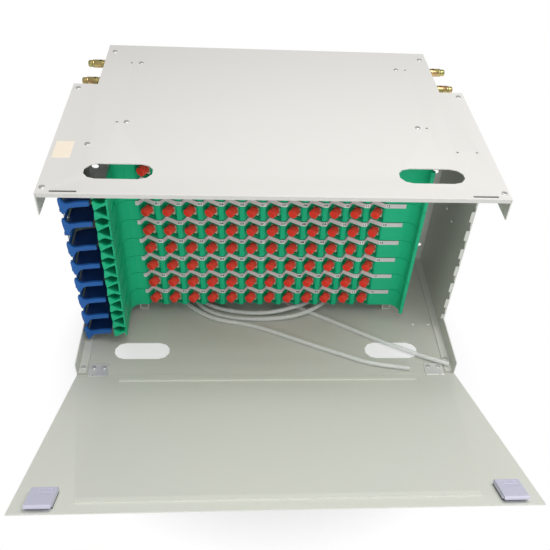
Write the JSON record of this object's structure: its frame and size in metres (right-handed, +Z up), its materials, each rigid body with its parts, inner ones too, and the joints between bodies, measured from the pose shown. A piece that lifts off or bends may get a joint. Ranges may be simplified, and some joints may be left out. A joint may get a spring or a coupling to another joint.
{
  "type": "sliding fibre patch drawer",
  "caption": "Rack-mount fibre patch unit: a stepped sheet-metal case with a fold-down front door, sliding angled-port trays, side cable guides and a loose protective hose.",
  "frame": {"origin": "on the underside of the base plate, in the middle of its front edge", "axes": "+X right seen from the front, -Y out of the front, +Z up"},
  "size_m": [0.4875, 0.5896, 0.285],
  "materials": {
    "coat": "satin",
    "zinc": "satin",
    "yellow_zinc": "gloss",
    "tray": "gloss",
    "cap": "gloss",
    "label": "matte",
    "guide": "satin",
    "latch": "satin",
    "black": "matte",
    "hose": "satin"
  },
  "bodies": {
    "chassis": {"base_plate": "coat", "top_cover": "coat", "rear_panel": "coat", "left_side_wall": "coat", "right_side_wall": "coat", "tray_rail_left": "coat", "tray_rail_right": "coat", "anchor_post_left_front": "yellow_zinc", "anchor_post_left_rear": "yellow_zinc", "anchor_post_right_front": "yellow_zinc", "anchor_post_right_rear": "yellow_zinc", "clamp_screw_left_front": "yellow_zinc", "clamp_screw_left_rear": "yellow_zinc", "clamp_screw_right_front": "yellow_zinc", "clamp_screw_right_rear": "yellow_zinc", "base_leaf_left": "zinc", "base_leaf_right": "zinc", "hinge_pin_left": "zinc", "hinge_pin_right": "zinc", "cable_guide_1": "guide", "cable_guide_2": "guide", "cable_guide_3": "guide", "cable_guide_4": "guide", "cable_guide_5": "guide", "cable_guide_6": "guide", "cable_guide_7": "guide", "cable_guide_8": "guide", "protective_hose": "hose"},
    "door": {"door_panel": "coat", "door_leaf_left": "zinc", "door_leaf_right": "zinc", "latch_guide_left": "black", "latch_guide_right": "black"},
    "latch_left": {"latch_bolt_left": "latch"},
    "latch_right": {"latch_bolt_right": "latch"},
    "tray_1": {"tray_body_1": "tray", "adapter_row_1": "cap", "label_strip_1": "label"},
    "tray_2": {"tray_body_2": "tray", "adapter_row_2": "cap", "label_strip_2": "label"},
    "tray_3": {"tray_body_3": "tray", "adapter_row_3": "cap", "label_strip_3": "label"},
    "tray_4": {"tray_body_4": "tray", "adapter_row_4": "cap", "label_strip_4": "label"},
    "tray_5": {"tray_body_5": "tray", "adapter_row_5": "cap", "label_strip_5": "label"},
    "tray_6": {"tray_body_6": "tray", "adapter_row_6": "cap", "label_strip_6": "label"},
    "tray_7": {"tray_body_7": "tray", "adapter_row_7": "cap", "label_strip_7": "label"},
    "tray_8": {"tray_body_8": "tray", "adapter_row_8": "cap", "label_strip_8": "label"}
  },
  "joints": [
    {"name": "door_hinge", "type": "hinge", "parent": "chassis", "child": "door", "pos_m": [0, -0.0027, 0.0024], "axis": [1, 0, 0], "range_deg": [-63.8, 26.2]},
    {"name": "latch_left_slide", "type": "slide", "parent": "door", "child": "latch_left", "axis": [0, 0.8973, -0.4415], "range_m": [0, 0.006], "stiffness_N_per_m": 100, "springref_m": -0.002},
    {"name": "latch_right_slide", "type": "slide", "parent": "door", "child": "latch_right", "axis": [0, 0.8973, -0.4415], "range_m": [0, 0.006], "stiffness_N_per_m": 100, "springref_m": -0.002},
    {"name": "tray_1_slide", "type": "slide", "parent": "chassis", "child": "tray_1", "axis": [0, -1, 0], "range_m": [0, 0.08]},
    {"name": "tray_2_slide", "type": "slide", "parent": "chassis", "child": "tray_2", "axis": [0, -1, 0], "range_m": [0, 0.08]},
    {"name": "tray_3_slide", "type": "slide", "parent": "chassis", "child": "tray_3", "axis": [0, -1, 0], "range_m": [0, 0.08]},
    {"name": "tray_4_slide", "type": "slide", "parent": "chassis", "child": "tray_4", "axis": [0, -1, 0], "range_m": [0, 0.08]},
    {"name": "tray_5_slide", "type": "slide", "parent": "chassis", "child": "tray_5", "axis": [0, -1, 0], "range_m": [0, 0.08]},
    {"name": "tray_6_slide", "type": "slide", "parent": "chassis", "child": "tray_6", "axis": [0, -1, 0], "range_m": [0, 0.08]},
    {"name": "tray_7_slide", "type": "slide", "parent": "chassis", "child": "tray_7", "axis": [0, -1, 0], "range_m": [0, 0.08]},
    {"name": "tray_8_slide", "type": "slide", "parent": "chassis", "child": "tray_8", "axis": [0, -1, 0], "range_m": [0, 0.08]}
  ]
}
